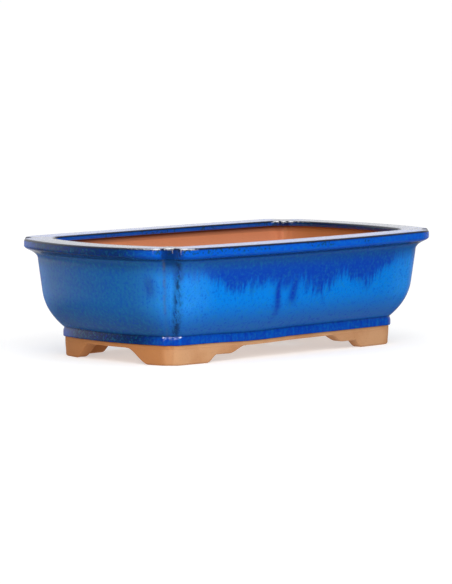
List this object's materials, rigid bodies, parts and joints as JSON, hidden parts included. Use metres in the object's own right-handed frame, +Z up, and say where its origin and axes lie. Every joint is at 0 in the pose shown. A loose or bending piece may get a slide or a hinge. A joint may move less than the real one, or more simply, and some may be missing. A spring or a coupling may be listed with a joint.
{
  "type": "bonsai pot",
  "caption": "Shallow glazed bonsai pot: bowed rectangular walls with notched corners, a flared rim, a drained floor and four bracket feet.",
  "frame": {"origin": "centre of the pot's outline, on the ground under the feet", "axes": "+X along the pot's long side, +Y across it from the front to the rear, +Z up"},
  "size_m": [0.305, 0.178, 0.084],
  "materials": {
    "blue_glaze": "thick glossy glaze, streaked and mottled cobalt blue, breaking dark on its edges",
    "bare_stoneware": "fired bare clay, matt and fine grained, warm tan",
    "screen_plastic": "moulded plastic mesh, satin black",
    "clip_wire": "drawn wire, satin"
  },
  "bodies": {
    "root": {"wall_front": "blue_glaze", "wall_rear": "blue_glaze", "wall_left": "blue_glaze", "wall_right": "blue_glaze", "rim_front": "blue_glaze", "rim_rear": "blue_glaze", "rim_left": "blue_glaze", "rim_right": "blue_glaze", "floor_slab": "bare_stoneware", "foot_front_left": "bare_stoneware", "foot_front_right": "bare_stoneware", "foot_rear_left": "bare_stoneware", "foot_rear_right": "bare_stoneware", "screen_left": "screen_plastic", "screen_right": "screen_plastic", "clip_left": "clip_wire", "clip_right": "clip_wire"}
  },
  "joints": []
}
